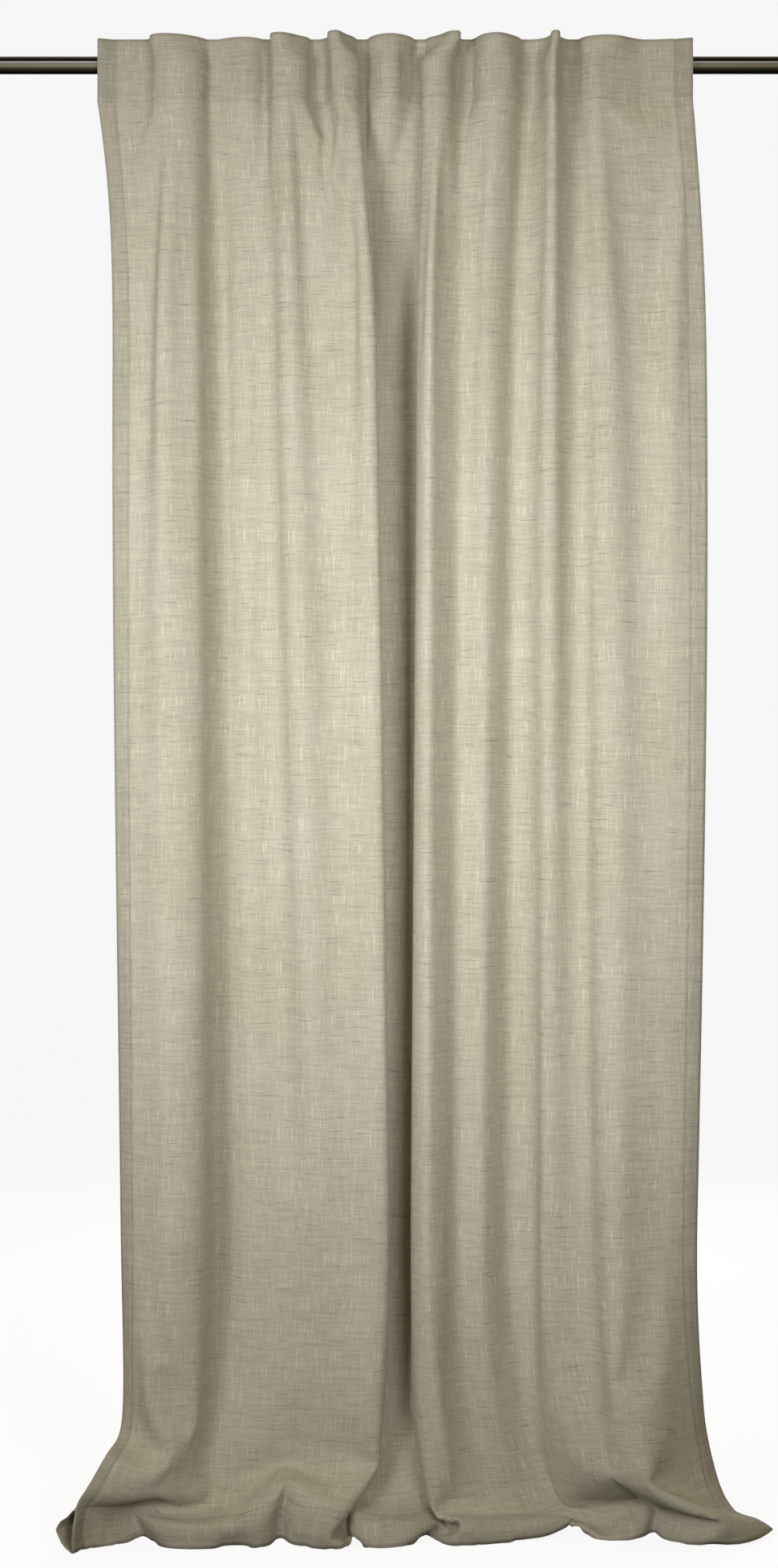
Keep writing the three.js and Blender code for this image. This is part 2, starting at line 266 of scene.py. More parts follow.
print("fold points", len(BODY_FOLDS), "in the body and", len(FLOOR_FOLDS), "on the floor")

# %% [markdown]
# A curve through given points has whatever length it happens to have. Its folds are deepened
# or flattened until the length is right, by halving the range again and again. In the heading each
# pleat keeps its own share of the cloth at the top edge and at the seam, so the threads run
# straight down between the two.

# %% Curves of a wanted length
def smooth_line(points, steps=20):
    """A Catmull-Rom curve through the points."""
    p = np.asarray(points, float)
    p = np.vstack([2 * p[0] - p[1], p, 2 * p[-1] - p[-2]])
    pieces = []
    for a, b, c, d in zip(p, p[1:], p[2:], p[3:]):
        gaps = [max(np.linalg.norm(q - r), 1e-6) ** 0.5 for q, r in ((b, a), (c, b), (d, c))]
        knots = np.cumsum([0.0] + gaps)
        t = np.linspace(knots[1], knots[2], steps, endpoint=False)[:, None]

        def between(u, v, i, j):
            return (knots[j] - t) / (knots[j] - knots[i]) * u + (t - knots[i]) / (knots[j] - knots[i]) * v

        ab, bc, cd = between(a, b, 0, 1), between(b, c, 1, 2), between(c, d, 2, 3)
        pieces.append(between(between(ab, bc, 0, 2), between(bc, cd, 1, 3), 1, 2))
    return np.vstack(pieces + [p[-2][None]])


def steps_along(line):
    """How far along the line each of its points is."""
    return np.concatenate([[0.0], np.cumsum(np.linalg.norm(np.diff(line, axis=0), axis=1))])


def scaled_line(points, hold, depth):
    """The curve with its folds made deeper or flatter, counted from the line y = hold."""
    points = np.array(points, float)
    points[:, 1] = hold + (points[:, 1] - hold) * depth
    return smooth_line(points)


def fit_depth(length_at, length, least=0.0, most=4.0):
    """The depth of fold that gives the wanted length, by halving."""
    for _ in range(40):
        depth = (least + most) / 2
        if length_at(depth) > length:
            most = depth
        else:
            least = depth
    return depth


def line_places(line):
    """The line as a function of the place across the flat cloth."""
    along = steps_along(line)
    along *= CUT_WIDTH / along[-1]
    return lambda u: np.stack([np.interp(u, along, line[:, i]) for i in range(3)], axis=-1)


def fitted_line(points, hold):
    """The curve with its depth, counted from hold, changed until it is as long as the cloth is wide."""
    depth = fit_depth(lambda d: steps_along(scaled_line(points, hold, d))[-1], CUT_WIDTH)
    return line_places(scaled_line(points, hold, depth)), depth


def shares_to_line(points):
    """Shares and millimetres to metres: across, back, up."""
    return [(p[0] * HALF_WIDTH, -p[1] / 1000, p[2] / 1000 if len(p) > 2 else 0.0) for p in points]

# %% The wavy lines, drawn from above
FLAT_AT_LOOP = 0.8 * LOOP_WIDTH  # how much of the heading lies flat on each loop
BODY_HOLD = -0.045  # the folds are deepened about these lines
FLOOR_HOLD = -0.085


def heading_runs(pleats):
    """The heading from loop to loop: the left edge, each pleat between two loops, the right edge."""
    half = FLAT_AT_LOOP / 2
    runs = [shares_to_line(LEFT_EDGE) + [(LOOP_X[0] - half, -PINCH, 0.0)]]
    for i, pleat in enumerate(pleats):
        start, end = LOOP_X[i], LOOP_X[i + 1]
        inside = [(start + share * (end - start), -forwards / 1000, 0.0) for share, forwards in pleat]
        runs.append([(start + half, -PINCH, 0.0)] + inside + [(end - half, -PINCH, 0.0)])
    runs.append([(LOOP_X[-1] + half, -PINCH, 0.0)] + shares_to_line(RIGHT_EDGE))
    return runs


def run_length(run, depth):
    return steps_along(scaled_line(run, -PINCH, depth))[-1]


heading_shape = heading_runs(HEADING_PLEATS)
flats = FLAT_AT_LOOP * len(LOOPS)
heading_depth = fit_depth(lambda d: sum(run_length(r, d) for r in heading_shape), CUT_WIDTH - flats)
heading_line = line_places(np.vstack([scaled_line(r, -PINCH, heading_depth) for r in heading_shape]))
top_runs = []
for run, top_run in zip(heading_shape, heading_runs(TOP_PLEATS)):
    length = run_length(run, heading_depth)
    depth = fit_depth(lambda d: run_length(top_run, d), length)
    top_runs.append(scaled_line(top_run, -PINCH, depth))
top_line = line_places(np.vstack(top_runs))
body_line, body_depth = fitted_line(shares_to_line(BODY_FOLDS), BODY_HOLD)
floor_line, floor_depth = fitted_line(shares_to_line(FLOOR_FOLDS), FLOOR_HOLD)
print("folds scaled by", round(heading_depth, 2), round(body_depth, 2), round(floor_depth, 2))

# %% [markdown]
# ## Cutting and gathering the cloth
# The cloth starts as a flat grid of its cut size, closer in its rows at the heading and at the hem
# where the folds are tight. Its UV map keeps the flat sizes in metres, so the weave follows the
# threads however the cloth hangs.

# %% Cut the cloth
COLUMNS = 140
LOW = CUT_LENGTH - 0.33  # below this the rows stand closer again
ROW_ZONES = [(0.0, 0.10, 9), (0.10, 0.45, 22), (0.45, LOW, 64), (LOW, CUT_LENGTH, 32)]


def spread_out(zones):
    """Places along an edge, evenly spaced within each zone."""
    places = [np.linspace(a, b, n, endpoint=False) for a, b, n in zones]
    return np.concatenate(places + [[zones[-1][1]]])


sim_u = np.linspace(0, CUT_WIDTH, COLUMNS + 1)
sim_v = spread_out(ROW_ZONES)


def flat_cloth(name, u, v):
    """A flat grid of cloth with its threads' places, in metres, as its UV map."""
    deselect_all()
    bpy.ops.mesh.primitive_grid_add(x_subdivisions=len(u) - 1, y_subdivisions=len(v) - 1, size=2)
    cloth = bpy.context.object
    cloth.name = cloth.data.name = name
    mesh = cloth.data
    places = np.zeros(len(mesh.vertices) * 3)
    mesh.vertices.foreach_get("co", places)
    places = places.reshape(-1, 3)
    column = np.rint((places[:, 0] + 1) / 2 * (len(u) - 1)).astype(int)
    row = np.rint((1 - places[:, 1]) / 2 * (len(v) - 1)).astype(int)
    cut = np.stack([u[column], -v[row]], axis=1)
    loops = np.zeros(len(mesh.loops), int)
    mesh.loops.foreach_get("vertex_index", loops)
    mesh.uv_layers[0].name = "cut"
    mesh.uv_layers[0].data.foreach_set("uv", cut[loops].ravel())
    return cloth, column, row


def place_vertices(mesh, places):
    mesh.vertices.foreach_set("co", np.asarray(places, float).ravel())
    mesh.update()


def ease(t):
    """From 0 to 1 with a soft start and end."""
    t = np.clip(t, 0, 1)
    return t * t * (3 - 2 * t)

# %% [markdown]
# The seam holds the pleats tight over the depth of the heading. Above it the top edge is a little
# slacker, and below it the pleats open quickly and run into the broad folds of the body. Near the
# floor the body's folds turn into the floor's, slowly at first, as cloth does when it has to spread.

# %% Gather the cloth
def softened(line, reach):
    """The same line with its tight turns opened, except where the loops hold it."""
    fine = np.linspace(0, CUT_WIDTH, 700)
    places = line(fine)
    spread = np.exp(-0.5 * ((fine - fine[:, None]) / reach) ** 2)
    blurred = (spread / spread.sum(axis=1, keepdims=True)) @ places
    to_loop = np.min(np.abs(places[:, :1] - np.array(LOOP_X)) + 2 * np.abs(places[:, 1:2] + PINCH), axis=1)
    free = ease((to_loop - 0.010) / 0.020) * ease(np.minimum(fine, CUT_WIDTH - fine) / 0.03)
    opened = places + (blurred - places) * free[:, None]
    return lambda u: np.stack([np.interp(u, fine, opened[:, i]) for i in range(3)], axis=-1)


top_open = softened(top_line, 0.005)
seam_open = softened(heading_line, 0.010)
OPENS_BY = 0.42  # how far below the heading seam the pleats have opened
SPREADS_FROM = 0.52  # height over the floor where the folds start to spread
OPENING_POWER = 2.2  # the pleats open fast at first
SPREADING_POWER = 2.2  # and the folds spread slowly at first


def gathered(u, v):
    """Where the flat place (u, v) hangs before the simulation."""
    z = TOP_EDGE - v
    above = ease((z + 0.008) / 0.040)
    below = ease((-0.012 - z) / 0.045)
    heading = heading_line(u)
    heading = heading + (top_open(u) - heading) * above[..., None]
    heading = heading + (seam_open(u) - heading) * below[..., None]
    opening = 1 - (1 - np.clip((HEADING_SEAM - z) / OPENS_BY, 0, 1)) ** OPENING_POWER
    spreading = np.clip((FLOOR + SPREADS_FROM - z) / SPREADS_FROM, 0, 1) ** SPREADING_POWER
    plan = heading + (body_line(u) - heading) * opening[..., None]
    plan = plan + (floor_line(u) - plan) * spreading[..., None]
    plan[..., 2] += z
    return plan


sheet, sheet_column, sheet_row = flat_cloth("hanging_sheet", sim_u, sim_v)
start = gathered(sim_u[sheet_column], sim_v[sheet_row])
print("cloth cut", CUT_WIDTH, "x", round(CUT_LENGTH, 3), "vertices", len(start))

# %% [markdown]
# ## Letting it hang
# The heading is fixed to the pole. The cloth is longer than the drop, so it starts lifted clear of
# the floor and is let down slowly: the hem lands first, then the cloth above it buckles into soft
# breaks. A shape key does the lowering, because pinned points follow it. A free hem would crumple
# anyhow, so its edge keeps softly to the line where it was arranged on the floor, and the layers of
# the heading and of the hem are stiffer than the single cloth between them.

# %% Simulate
LET_DOWN_FRAMES = 26
SETTLE_FRAMES = 24
HEM_GRIP = 0.9  # how firmly the hem's edge keeps its place on the floor
HEM_GUIDE = 0.12  # and the stiff layers just above it
CORNER_GUIDE = 0.4  # and the left side where it kicks out to its corner


def hang(sheet, start):
    """Runs the cloth simulation and returns where the vertices come to rest."""
    lifted = start + np.array([0, 0, SLACK])
    v = sim_v[sheet_row]
    u = sim_u[sheet_column]
    place_vertices(sheet.data, lifted)
    sheet.shape_key_add(name="lifted")
    let_down = sheet.shape_key_add(name="let_down")
    near_hem = HEM_GUIDE * ease((v - CUT_LENGTH + 0.12) / 0.12)
    left_corner = ease((v - CUT_LENGTH + 0.24) / 0.12) * ease((0.035 - u) / 0.035)
    near_hem = np.maximum(near_hem, CORNER_GUIDE * left_corner)
    hem_grip = np.where(v > CUT_LENGTH - 0.001, HEM_GRIP, near_hem)
    lowered = np.where((hem_grip > 0)[:, None], lifted, start)
    let_down.data.foreach_set("co", lowered.ravel())
    let_down.value = 0
    let_down.keyframe_insert("value", frame=1)
    let_down.value = 1
    let_down.keyframe_insert("value", frame=LET_DOWN_FRAMES)

    grip = np.where(v < HEADING_DEPTH + 0.001, 1.0, hem_grip)
    group = sheet.vertex_groups.new(name="held")
    for i in np.nonzero(grip > 0)[0]:
        group.add([int(i)], float(grip[i]), "REPLACE")

    stiff = np.maximum(ease((v - CUT_LENGTH + 0.35) / 0.35), ease((HEADING_DEPTH + 0.02 - v) / 0.03))
    layers = sheet.vertex_groups.new(name="layers")
    for i in np.nonzero(stiff > 0)[0]:
        layers.add([int(i)], float(stiff[i]), "REPLACE")

    deselect_all()
    bpy.ops.mesh.primitive_plane_add(size=5, location=(0, 0, FLOOR))
    ground = bpy.context.object
    ground.modifiers.new("ground", "COLLISION")
    ground.collision.thickness_outer = 0.002
    ground.collision.cloth_friction = 15

    cloth = sheet.modifiers.new("cloth", "CLOTH")
    fabric = cloth.settings
    fabric.quality = 6
    fabric.mass = 0.15
    fabric.vertex_group_mass = "held"
    fabric.tension_stiffness = fabric.compression_stiffness = 25
    fabric.shear_stiffness = 8
    fabric.bending_stiffness = 1.0
    fabric.vertex_group_bending = "layers"
    fabric.bending_stiffness_max = 40
    fabric.tension_damping = fabric.compression_damping = fabric.shear_damping = 5
    fabric.bending_damping = 0.8
    fabric.air_damping = 2
    cloth.collision_settings.distance_min = 0.002
    cloth.point_cache.frame_start = 1
    cloth.point_cache.frame_end = LET_DOWN_FRAMES + SETTLE_FRAMES
    for number in range(1, LET_DOWN_FRAMES + SETTLE_FRAMES + 1):
        bpy.context.scene.frame_set(number)

    rested = sheet.evaluated_get(bpy.context.evaluated_depsgraph_get())
    places = np.zeros(len(rested.data.vertices) * 3)
    rested.data.vertices.foreach_get("co", places)
    bpy.data.objects.remove(ground)
    bpy.context.scene.frame_set(1)
    return places.reshape(-1, 3)

# %% Run it
rested = hang(sheet, start)
bpy.data.objects.remove(sheet)
hung = np.zeros((len(sim_v), len(sim_u), 3))
hung[sheet_row, sheet_column] = rested

# %% [markdown]
# The let-down pushes the deepest folds out further than the frame's box leaves room for. They are
# eased back softly, more the further out they stand, so no crease marks where the easing starts.

# %% Ease the deepest folds
FOLD_BACK, FOLD_FRONT, EASED = 0.020, -0.122, 0.022
deep = np.maximum(hung[..., 1] - FOLD_BACK, 0)
bold = np.maximum(FOLD_FRONT - hung[..., 1], 0)
hung[..., 1] += EASED * (1 - np.exp(-deep / EASED)) - deep
hung[..., 1] -= EASED * (1 - np.exp(-bold / EASED)) - bold
print("hung cloth", hung.reshape(-1, 3).min(0).round(3), hung.reshape(-1, 3).max(0).round(3))

# %% [markdown]
# ## One surface for everything that is sewn
# From here on the hung cloth is a smooth surface: any place on the flat cloth, so far across and so
# far down, gives a point in the room and the direction straight back out of the cloth. Layers lie
# behind it by a set distance, and stitches follow it. Where a seam pulls the layers together the
# surface dips a little and ripples beside it.

# %% The surface
def cubic_weights(t):
    """How much each of four neighbours counts, a share t of the way from the second to the third."""
    return [
        -0.5 * t + t**2 - 0.5 * t**3,
        1 - 2.5 * t**2 + 1.5 * t**3,
        0.5 * t + 2 * t**2 - 1.5 * t**3,
        -0.5 * t**2 + 0.5 * t**3,
    ]


padded_hung = np.pad(hung, ((1, 1), (1, 1), (0, 0)), mode="reflect", reflect_type="odd")


def on_cloth(u, v):
    """Points of the hung cloth at flat places: cubic between the hung rows, exact in the heading."""
    u, v = np.broadcast_arrays(np.asarray(u, float), np.asarray(v, float))
    column = np.interp(u, sim_u, np.arange(len(sim_u)))
    row = np.interp(v, sim_v, np.arange(len(sim_v)))
    i = np.clip(column.astype(int), 0, len(sim_u) - 2)
    j = np.clip(row.astype(int), 0, len(sim_v) - 2)
    across, down = cubic_weights(column - i), cubic_weights(row - j)
    point = np.zeros(u.shape + (3,))
    for a in range(4):
        for b in range(4):
            point += (across[a] * down[b])[..., None] * padded_hung[j + b, i + a]
    exact = ease((HEADING_DEPTH - 0.004 - v) / 0.030)[..., None]
    return point + (gathered(u, v) - point) * exact


def unit(vectors):
    return vectors / np.maximum(np.linalg.norm(vectors, axis=-1, keepdims=True), 1e-12)


def ways_along(u, v, step=0.0025):
    """The directions along the weft and down the warp."""
    right = on_cloth(np.clip(u + step, 0, CUT_WIDTH), v)
    left = on_cloth(np.clip(u - step, 0, CUT_WIDTH), v)
    lower = on_cloth(u, np.clip(v + step, 0, CUT_LENGTH))
    upper = on_cloth(u, np.clip(v - step, 0, CUT_LENGTH))
    return unit(right - left), unit(lower - upper)


def backwards(u, v):
    """The direction straight back out of the cloth."""
    along, down = ways_along(u, v)
    return unit(np.cross(along, down))

# %% [markdown]
# A seam presses the layers together along one thin line and puckers the cloth beside it. Smooth
# noise along each seam gives the puckers, and a narrow bell shape across it gives the dip.

# %% Dips and puckers at the seams
SEAM_DIP = 0.0010
PUCKER = 0.0012


def wander(places, scale, seed):
    """Smooth noise along a line, from about -1 to 1."""
    flat = np.ravel(places)
    values = np.array([noise.noise((float(p) * scale, seed, 0.3 * seed)) for p in flat])
    return values.reshape(np.shape(places)) * 1.6


fine_u = np.linspace(0, CUT_WIDTH, 1400)
fine_v = np.linspace(0, CUT_LENGTH, 2400)
RIPPLES = {
    "heading": wander(fine_u, 38, 3.1),
    "hem": wander(fine_u, 46, 7.7),
    "left": wander(fine_v, 40, 11.3),
    "right": wander(fine_v, 40, 15.9),
}


def bell(distance, width):
    """1 at the line itself, falling off over the width."""
    return np.exp(-0.5 * (distance / width) ** 2)


def seam_relief(u, v):
    """How far the seams press the cloth back or let it ripple forwards, in metres."""
    u, v = np.broadcast_arrays(np.asarray(u, float), np.asarray(v, float))
    lines = [
        (v - HEADING_DEPTH, np.interp(u, fine_u, RIPPLES["heading"])),
        (v - HEM_SEAM_V, np.interp(u, fine_u, RIPPLES["hem"])),
        (u - SIDE_SEAM, np.interp(v, fine_v, RIPPLES["left"])),
        (CUT_WIDTH - SIDE_SEAM - u, np.interp(v, fine_v, RIPPLES["right"])),
    ]
    relief = np.zeros(u.shape)
    for distance, ripple in lines:
        relief += SEAM_DIP * bell(distance, 0.0022)
        relief -= PUCKER * ripple * bell(np.abs(distance) - 0.006, 0.006)
    return relief


def sewn_place(u, v, behind=0.0):
    """The point so far behind the cloth, seams and all, and the direction straight back there."""
    back = backwards(u, v)
    return on_cloth(u, v) + back * (seam_relief(u, v) + behind)[..., None], back

# %% Rows and columns for the layers
def beside(line, reach=(0.002, 0.005, 0.009)):
    """Places of extra rows or columns at a seam, so that its dip has a shape."""
    return [line] + [line + side * r for r in reach for side in (-1, 1)]


def with_seams(places, seams, end):
    """The places with more of them at the seams, and none crowded together."""
    extra = [p for seam in seams for p in beside(seam)]
    kept = [p for p in places if min(abs(p - e) for e in extra) > 0.0016]
    return np.array(sorted(p for p in kept + extra if 0 <= p <= end))


cloth_u = with_seams(np.linspace(0, CUT_WIDTH, 250), [SIDE_SEAM, CUT_WIDTH - SIDE_SEAM], CUT_WIDTH)
fine_rows = spread_out([(0.0, 0.16, 26), (0.16, 0.45, 22), (0.45, LOW, 62), (LOW, CUT_LENGTH, 50)])
cloth_v = with_seams(fine_rows, [HEADING_DEPTH, HEM_SEAM_V], CUT_LENGTH)
print("surface", len(cloth_u), "x", len(cloth_v))

# %% [markdown]
# ## Materials
# The cloth is a plain weave of uneven yarn: thick dark slubs lie along the weft, paler fibres run
# down the warp, and the dye takes a little unevenly. All of it is drawn in the flat cloth's own
# metres, so it bends with every fold. Where the edges are turned, the face is painted darker: painted
# shade for the light that the doubled cloth lets through less. The turnings and the loops are the
# same linen painted darker, as painted shade too.

# %% Linen node group
def socket(tree, name, kind, way, value=None):
    """Adds an input or an output to a node group."""
    made = tree.interface.new_socket(name=name, in_out=way, socket_type=kind)
    if value is not None:
        made.default_value = value


def stretched_noise(tree, place, across, down, detail=2.0, roughness=0.5):
    """Noise drawn out along one set of threads: so many features per metre across and down."""
    scaled = add_node(tree, "ShaderNodeVectorMath", {0: place, 1: (across, down, 1)}, operation="MULTIPLY")
    settings = {"Vector": scaled.outputs[0], "Scale": 1.0, "Detail": detail, "Roughness": roughness}
    return add_node(tree, "ShaderNodeTexNoise", settings).outputs["Fac"]


def between_values(tree, value, start, end, low_value=0.0, high_value=1.0):
    """Goes smoothly from the low to the high value while the input goes from start to end."""
    limits = {0: value, 1: start, 2: end, 3: low_value, 4: high_value}
    return add_node(tree, "ShaderNodeMapRange", limits, interpolation_type="SMOOTHSTEP").outputs[0]


def linen_group():
    """Colour and height of slubby linen, from the threads' places in metres."""
    group = bpy.data.node_groups.new("slubby_linen", "ShaderNodeTree")
    socket(group, "Threads", "NodeSocketVector", "INPUT")
    socket(group, "Cloth Color", "NodeSocketColor", "INPUT", (0.45, 0.41, 0.33, 1))
    socket(group, "Slubs", "NodeSocketFloat", "INPUT", 1.0)
    socket(group, "Color", "NodeSocketColor", "OUTPUT")
    socket(group, "Height", "NodeSocketFloat", "OUTPUT")
    inside = add_node(group, "NodeGroupInput")
    outside = add_node(group, "NodeGroupOutput")
    place = inside.outputs["Threads"]

    weft_yarn = stretched_noise(group, place, 30, 620, 3.0, 0.6)
    warp_yarn = stretched_noise(group, place, 620, 22, 3.0, 0.6)
    weft_band = stretched_noise(group, place, 12, 190, 2.0, 0.5)
    warp_band = stretched_noise(group, place, 150, 6, 2.0, 0.5)
    clouds = stretched_noise(group, place, 9, 5, 3.0, 0.55)
    slubs = between_values(group, stretched_noise(group, place, 24, 420, 1.0, 0.4), 0.63, 0.75)
    fibres = between_values(group, stretched_noise(group, place, 460, 26, 1.0, 0.4), 0.61, 0.71)
    thick = maths(group, "MULTIPLY", slubs, inside.outputs["Slubs"])

    shade = maths(group, "MULTIPLY", thick, -0.27)
    shade = maths(group, "ADD", shade, maths(group, "MULTIPLY", fibres, 0.27))
    for grain, amount in (
        (weft_yarn, 0.60), (warp_yarn, 0.44), (weft_band, 0.34), (warp_band, 0.16), (clouds, 0.16)
    ):
        uneven = maths(group, "MULTIPLY", maths(group, "SUBTRACT", grain, 0.5), amount)
        shade = maths(group, "ADD", shade, uneven)
    value = maths(group, "ADD", shade, 1.0)

    warm = add_node(
        group,
        "ShaderNodeMix",
        {0: clouds, 6: (0.965, 1.0, 0.93, 1), 7: (1.035, 1.0, 1.05, 1)},
        data_type="RGBA",
    ).outputs[2]
    toned = add_node(
        group, "ShaderNodeVectorMath", {0: inside.outputs["Cloth Color"], 1: warm}, operation="MULTIPLY"
    ).outputs[0]
    lit = add_node(group, "ShaderNodeVectorMath", {0: toned}, operation="SCALE")
    group.links.new(value, lit.inputs["Scale"])
    group.links.new(lit.outputs[0], outside.inputs["Color"])

    height = maths(group, "MULTIPLY", weft_yarn, 0.6)
    height = maths(group, "ADD", height, maths(group, "MULTIPLY", warp_yarn, 0.5))
    height = maths(group, "ADD", height, maths(group, "MULTIPLY", thick, 0.5))
    group.links.new(height, outside.inputs["Height"])
    return group


slubby_linen = linen_group()
print("linen group has", len(slubby_linen.nodes), "nodes")

# %% Linen materials
def linen_material(name, color, slubs=1.0, painted_layer_shade=0.0):
    """Linen over the cut UV map. hems is how much darker the face is painted where it lies in layers, as
    painted shade.
    """
    material, tree, shader = new_material(name)
    threads = add_node(tree, "ShaderNodeUVMap", uv_map="cut").outputs["UV"]
    linen = add_node(tree, "ShaderNodeGroup", node_tree=slubby_linen)
    tree.links.new(threads, linen.inputs["Threads"])
    linen.inputs["Cloth Color"].default_value = (*color, 1)
    linen.inputs["Slubs"].default_value = slubs
    tinted = linen.outputs["Color"]
    # Painted shade: the face is painted darker where the side turnings lie behind it, and half as much over
    # the heading and the bottom hem.
    if painted_layer_shade:
        parts = add_node(tree, "ShaderNodeSeparateXYZ", {0: threads})
        u, v = parts.outputs["X"], maths(tree, "MULTIPLY", parts.outputs["Y"], -1.0)
        edges = [
            between_values(tree, u, SIDE_HEM - 0.0004, SIDE_HEM + 0.0004, 1.0, 0.0),
            between_values(tree, u, CUT_WIDTH - SIDE_HEM - 0.0004, CUT_WIDTH - SIDE_HEM + 0.0004),
            between_values(tree, v, HEADING_DEPTH, HEADING_DEPTH + 0.0012, 0.5, 0.0),
            between_values(tree, v, HEM_SEAM_V - 0.0012, HEM_SEAM_V, 0.0, 0.5),
        ]
        layer_shade_mask = edges[0]
        for edge in edges[1:]:
            layer_shade_mask = maths(tree, "ADD", layer_shade_mask, edge)
        darker = maths(tree, "SUBTRACT", 1.0, maths(tree, "MULTIPLY", layer_shade_mask, painted_layer_shade))
        shaded = add_node(tree, "ShaderNodeVectorMath", {0: tinted}, operation="SCALE")
        tree.links.new(darker, shaded.inputs["Scale"])
        tinted = shaded.outputs[0]
    tree.links.new(tinted, shader.inputs["Base Color"])
    yarns = {"Height": linen.outputs["Height"], "Strength": 0.45, "Distance": 0.0006}
    bump = add_node(tree, "ShaderNodeBump", yarns)
    tree.links.new(bump.outputs["Normal"], shader.inputs["Normal"])
    shader.inputs["Roughness"].default_value = 0.92
    shader.inputs["Specular IOR Level"].default_value = 0.22
    shader.inputs["Sheen Weight"].default_value = 0.12
    shader.inputs["Sheen Roughness"].default_value = 0.55
    return material


LINEN = (0.480, 0.430, 0.325)
face_linen = linen_material("linen_face", LINEN, painted_layer_shade=0.15)
# Painted shade: the turnings and the loops are the same linen as the face, painted 10% and 14% darker.
shaded_turnings_linen = linen_material("linen_turnings", tuple(0.9 * c for c in LINEN))
shaded_loop_linen = linen_material("linen_loops", tuple(0.86 * c for c in LINEN), slubs=0.6)
print("linen materials", face_linen.name, shaded_turnings_linen.name, shaded_loop_linen.name)

# %% [markdown]
# ## The cloth and its turned edges
# Each layer is laid from the same surface: a grid over its part of the flat cloth, set back by its
# place in the stack, then given its thickness by Solidify. The turnings' outer edges curl forwards
# round the cloth's own edge, which makes the fold.

# %% Helpers for finishing a piece
def finish_modifiers(piece):
    """Applies every modifier, so that the mesh itself has the final shape."""
    deselect_all()
    bpy.context.view_layer.objects.active = piece
    piece.select_set(True)
    for modifier in list(piece.modifiers):
        bpy.ops.object.modifier_apply(modifier=modifier.name)


def shade_smooth(piece):
    piece.data.polygons.foreach_set("use_smooth", [True] * len(piece.data.polygons))
    piece.data.update()


cloth_pieces = []


def sewn_on(piece, node, material):
    """Every cloth piece gets its material and hangs from the fixed loop, and its part in the frame is hidden.
    """
    piece.data.materials.clear()
    piece.data.materials.append(material)
    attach(piece, "panel")
    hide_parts(node)
    cloth_pieces.append(piece)
    return piece

# %% One layer of cloth
def turned_edge(layer):
    """The fold at the edge of a turned layer: how far behind, how far out, and how far along."""
    turn = np.linspace(math.pi, 0, 7)[1:]
    radius = (layer * PITCH - CLOTH) / 2
    behind = (layer * PITCH + CLOTH) / 2 - radius * np.cos(turn)
    return behind, radius * np.sin(turn), radius * (math.pi - turn)


def lay_cloth(name, u, v, layer, turned="", bulge=None):
    """A layer of cloth over the flat places u by v, with a fold where it is turned from the face."""
    sides = {"across": [np.asarray(u), np.full(len(u), layer * PITCH), np.zeros(len(u)), np.asarray(u)]}
    sides["down"] = [np.asarray(v), np.full(len(v), np.nan), np.zeros(len(v)), np.asarray(v)]
    if turned:
        behind, out, along = turned_edge(layer)
        way = "across" if turned in ("left", "right") else "down"
        first = turned in ("left", "top")
        side = sides[way]
        edge = side[0][0] if first else side[0][-1]
        sign = -1 if first else 1
        extra = [np.full(len(out), edge), behind, sign * out, edge + sign * along]
        for i in range(4):
            side[i] = np.concatenate([extra[i][::-1], side[i]] if first else [side[i], extra[i]])
    across, down = sides["across"], sides["down"]
    cloth, column, row = flat_cloth(name, across[3], down[3])
    place_u, place_v = across[0][column], down[0][row]
    behind = np.where(np.isnan(down[1][row]), across[1][column], down[1][row])
    if bulge is not None:
        behind = behind + bulge(place_u, place_v)
    places, _ = sewn_place(place_u, place_v, behind)
    along_u, along_v = ways_along(place_u, place_v)
    places += along_u * across[2][column][:, None] + along_v * down[2][row][:, None]
    place_vertices(cloth.data, places)
    thickness = cloth.modifiers.new("thickness", "SOLIDIFY")
    thickness.thickness = CLOTH
    thickness.offset = -1.0
    finish_modifiers(cloth)
    shade_smooth(cloth)
    return cloth

# %% Lay the face and its four turnings
def part_of(places, start, end):
    """The rows or columns between two places, with both ends exact."""
    kept = [p for p in places if start + 0.0008 < p < end - 0.0008]
    return np.array([start] + kept + [end])


OPEN_BY = 0.030
OPEN_REACH = 0.075


def open_end(u, v):
    """At the left corner the hem's tube stands open, as its back layer springs away from the face."""
    height = np.clip((v - HEM_SEAM_V) / (CUT_LENGTH - HEM_SEAM_V), 0, 1)
    return OPEN_BY * ease((OPEN_REACH - u) / OPEN_REACH) * np.sin(math.pi * height) ** 0.8


face = lay_cloth("face_cloth_hung", cloth_u, cloth_v, 0)
sewn_on(face, "face_cloth", face_linen)
left_hem = lay_cloth("left_side_hem_turned", part_of(cloth_u, 0, SIDE_HEM), cloth_v, 1, "left")
sewn_on(left_hem, "left_side_hem", shaded_turnings_linen)
right_u = part_of(cloth_u, CUT_WIDTH - SIDE_HEM, CUT_WIDTH)
right_hem = lay_cloth("right_side_hem_turned", right_u, cloth_v, 1, "right")
sewn_on(right_hem, "right_side_hem", shaded_turnings_linen)
heading = lay_cloth("heading_turned_down", cloth_u, part_of(cloth_v, 0, HEADING_DEPTH + 0.003), 2, "top")
sewn_on(heading, "heading_turning", shaded_turnings_linen)
hem_v = part_of(cloth_v, HEM_SEAM_V - 0.003, CUT_LENGTH)
bottom = lay_cloth("bottom_hem_turned_up", cloth_u, hem_v, 2, "bottom", open_end)
sewn_on(bottom, "bottom_hem", shaded_turnings_linen)
for piece in cloth_pieces:
    print(piece.name, len(piece.data.polygons), "faces")

